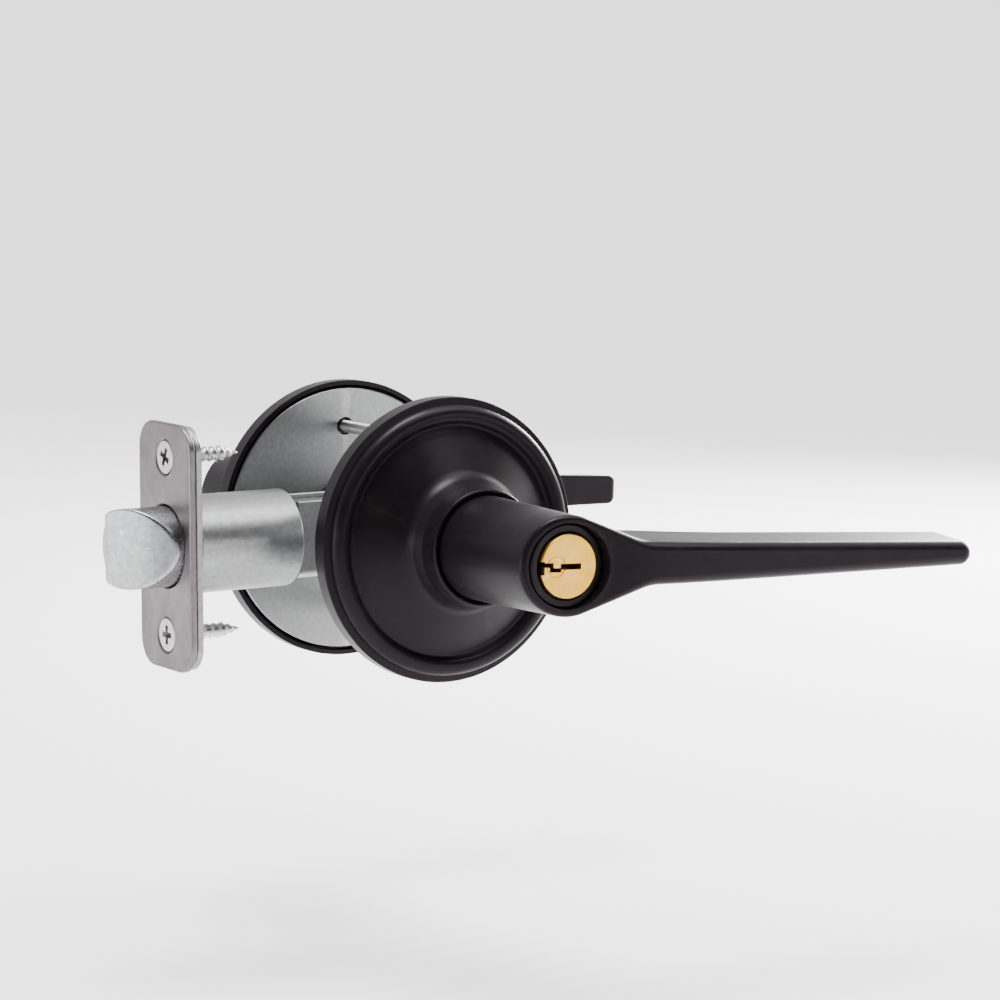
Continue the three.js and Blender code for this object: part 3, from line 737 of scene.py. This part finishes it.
def bolt_outline(is_bolt):
    """The bolt's round section on one side of its flat, or the plunger's on the other."""
    radius, corner = 9.35, 1.2 if is_bolt else 0.4
    flat = BOLT_FLAT if is_bolt else BOLT_FLAT + FINE
    x = flat - corner if is_bolt else flat + corner
    y = math.sqrt((radius - corner) ** 2 - x * x)
    angle = math.degrees(math.atan2(y, x))
    if is_bolt:
        round_part = arc(0, 0, radius, angle, 360 - angle, 96)
        first, last = arc(x, -y, corner, -angle, 0, 6), arc(x, y, corner, 0, angle, 6)
    else:
        round_part = arc(0, 0, radius, -angle, angle, 40)
        first, last = arc(x, y, corner, angle, 180, 6), arc(x, -y, corner, 180, 360 - angle, 6)
    flat_part = [first[-1].lerp(last[0], k / 24) for k in range(1, 24)]
    return round_part + first[1:] + flat_part + last[:-1]


def latch_bolt():
    """Round bolt with a flat beside the plunger and a slant for the strike."""
    tip, back = (corner.x for corner in box("latch_bolt"))
    start, bend, end = (-9.35, PLATE_FRONT - 1.5), (-6.3, PLATE_FRONT - 6.9), (4.1, tip)

    def slant(x, y):
        return -curve_at(x, start, bend, end) if x < end[0] else -tip

    body = faced(bolt_outline(True), slant, -back, 0.5, [(-back + 1.5, 0)], rows=30)
    body.transform(Matrix.Diagonal((1, 1, -1, 1)))
    bmesh.ops.reverse_faces(body, faces=body.faces)
    return body


def plunger():
    tip, back = (corner.x for corner in box("deadlatch_plunger"))
    return prism(bolt_outline(False), tip, back, 0.5)


def drawbar():
    strip = block((-4.6, 4.6), (6.6, 8), (-52.2, 1), 0.25)
    upright = block((-4.6, 4.6), (7.3, 11.8), (-0.5, 1), 0.25)
    hook = block((-4.6, 4.6), (9.8, 11.8), (-4.4, 0.2), 0.25)
    return cut(join(strip, upright, hook), block((-2.2, 2.2), (6, 9), (-10.6, -0.5), 0.4))


def retractor_cam():
    """Hub on the drive bar and the round-tipped finger that draws the bolt."""
    hub = prism(circle(6, 64), -MIDDLE - 6, -MIDDLE + 6, 0.4)
    finger = [Vector((0.9, 4)), *arc(0, 12, 1.3, -30, 210, 16), Vector((-0.9, 4))]
    arm = prism(finger, -MIDDLE - 1.6, -MIDDLE + 1.6, 0.2)
    arm.transform(Matrix.Rotation(math.radians(30), 4, "Z"))
    hole = (-3.6, 3.6)
    return cut(join(hub, arm), block(hole, hole, (-MIDDLE - 8, -MIDDLE + 8)))


def drive_bar():
    low, high = (corner.y for corner in box("drive_bar"))
    bar = prism(rectangle(6.6, 6.6, 0.5), -high, -low, 0.3)
    return cut(bar, turned([(0, -high - 1), (2.3, -high - 1), (2.3, 1 - low), (0, 1 - low)], 48))


def post():
    low, high = (corner.y for corner in box("mounting_post_upper"))
    return tube(1.9, 3.4, -high, -low, 48)


def through_screw():
    """Pan-head machine screw, its head on the inside plate; heights run towards the outside."""
    end, head = (corner.y for corner in box("through_screw_upper"))
    seat = head - 2.4

    def core(h):
        return 1.35

    rings = threaded(core, -end - 0.4, -seat, 0.9, 0.2, count=24, rows=5)
    head_profile = rounded([
        (1.4, -seat), (3.6, -seat, 0.15), (3.6, -seat - 1.2, 0.5), (2.9, -head, 0.6), (0, -head),
    ])
    rings = [raised(circle(AXIS, 24), -end)] + rings
    rings += [raised(circle(max(point.x, AXIS), 24), point.y) for point in head_profile[1:]]
    return cut(solid(rings), cross_recess(1.9, -head, 1.8))


def at_height(place, offset):
    return place @ Matrix.Translation((0, offset, 0))


piece("latch_faceplate", faceplate(), EDGEWISE)
piece("latch_back_plate", back_plate(), EDGEWISE)
piece("latch_tube", latch_tube(), EDGEWISE)
piece("latch_case", latch_case(), EDGEWISE)
piece("latch_bolt", latch_bolt(), EDGEWISE, 50)
piece("deadlatch_plunger", plunger(), EDGEWISE)
piece("bolt_drawbar", drawbar(), EDGEWISE)
piece("retractor_cam", retractor_cam(), OUTSIDE)
piece("drive_bar", drive_bar(), OUTSIDE)
for offset, level, turn in ((1, "upper", 24), (-1, "lower", 0)):
    piece(f"faceplate_screw_{level}", plate_screw(turn), at_height(EDGEWISE, offset * SCREW_OFFSET))
    piece(f"mounting_post_{level}", post(), at_height(OUTSIDE, offset * POST_OFFSET))
    piece(f"through_screw_{level}", through_screw(), at_height(OUTSIDE, offset * POST_OFFSET))

SPRINGS = {  # node: wire, turns, offset from the middle of the door, joint, share of its length kept
    "bolt_spring": (0.45, 9, 0, "bolt_slide", 0.3),
    "plunger_spring": (0.25, 12, 7.6, "plunger_slide", 0.35),
}
for name, (wire, turns, offset, joint, keep) in SPRINGS.items():
    low, high = box(name)
    spring = coil((high.z - low.z) / 2 - wire, wire, low.x, high.x, turns, steps=20, sides=8)
    item = piece(name, spring, EDGEWISE @ Matrix.Translation((offset, 0, 0)))
    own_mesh(item)


# Floor, light and camera

FLOOR = -0.1015  # low enough for a lever at its lowest
FAR = 40  # how far the floor and the ceiling's light run

floor_mesh = bpy.data.meshes.new("floor")
corners = [(x * FAR, y * FAR, FLOOR) for x, y in ((-1, -1), (1, -1), (1, 1), (-1, 1))]
floor_mesh.from_pydata(corners, [], [(0, 1, 2, 3)])
floor = bpy.data.objects.new("floor", floor_mesh)
bpy.context.scene.collection.objects.link(floor)
paper = bpy.data.materials.new("paper")
paper.use_nodes = True
paper_shader = paper.node_tree.nodes["Principled BSDF"]
paper_shader.inputs["Base Color"].default_value = (0.9, 0.9, 0.9, 1)
paper_shader.inputs["Roughness"].default_value = 0.9
paper_shader.inputs["Specular IOR Level"].default_value = 0.2
floor_mesh.materials.append(paper)


def studio(dim, bright):
    """A room that is dim before the lockset's outside and bright behind it."""
    world = bpy.data.worlds.new("studio")
    world.use_nodes = True
    nodes, links = world.node_tree.nodes, world.node_tree.links
    across = nodes.new("ShaderNodeSeparateXYZ")
    links.new(nodes.new("ShaderNodeTexCoord").outputs["Generated"], across.inputs["Vector"])
    ramp = nodes.new("ShaderNodeMapRange")
    ramp.interpolation_type = "SMOOTHSTEP"
    for name, number in (("From Min", -0.35), ("From Max", 0.35), ("To Min", dim), ("To Max", bright)):
        ramp.inputs[name].default_value = number
    links.new(across.outputs["Y"], ramp.inputs["Value"])
    links.new(ramp.outputs["Result"], nodes["Background"].inputs["Strength"])
    nodes["Background"].inputs["Color"].default_value = (1, 1, 1, 1)
    return world


def softbox(name, position, target, size, radiance, spread=180):
    """An area light; spread is the angle in degrees that its light keeps within."""
    lamp = bpy.data.lights.new(name, "AREA")
    lamp.shape = "RECTANGLE"
    lamp.size, lamp.size_y = size
    lamp.energy = radiance * math.pi * size[0] * size[1]
    lamp.spread = math.radians(spread)
    item = bpy.data.objects.new(name, lamp)
    item.visible_camera = False
    item.location = position
    item.rotation_euler = (Vector(target) - Vector(position)).to_track_quat("-Z", "Y").to_euler()
    bpy.context.scene.collection.objects.link(item)


bpy.context.scene.world = studio(0.03, 1.25)
CEILING_MIDDLE = FAR / 2 - 0.3  # so that it begins just before the lockset and runs back
softbox("ceiling", (0, CEILING_MIDDLE, 1), (0, CEILING_MIDDLE, 0), (FAR, FAR), 1.8, spread=40)
softbox("left", (-0.92, 0.05, 0.05), (0, 0, 0), (0.6, 0.2), 5.2)
softbox("right", (0.8, 0.45, 0.28), (0, 0, 0), (0.4, 0.25), 75)
softbox("side", (0.85, 0.08, 0.32), (0, 0, 0), (0.35, 0.5), 11)
softbox("front", (0.6, -1.04, 0.06), (0, 0, 0), (0.55, 0.2), 7.2)
softbox("above", (0.3, -0.3, 0.7), (0, 0, 0), (0.5, 0.4), 7)

CAMERA_PLACE = (-0.5012, -0.8427, 0.13175)
YAW, PITCH, ROLL = (math.radians(angle) for angle in (-31.56, -7.14, 0.16))
camera_data = bpy.data.cameras.new("camera")
camera_data.lens = 152.96
camera_data.sensor_width = 36
camera_data.clip_start = 0.01
camera = bpy.data.objects.new("camera", camera_data)
turn = Matrix.Rotation(YAW, 3, "Z") @ Matrix.Rotation(PITCH, 3, "X") @ Matrix.Rotation(ROLL, 3, "Y")
axes = Matrix((turn.col[0], turn.col[2], -turn.col[1])).transposed()
camera.matrix_world = Matrix.Translation(CAMERA_PLACE) @ axes.to_4x4()
bpy.context.scene.collection.objects.link(camera)
bpy.context.scene.camera = camera
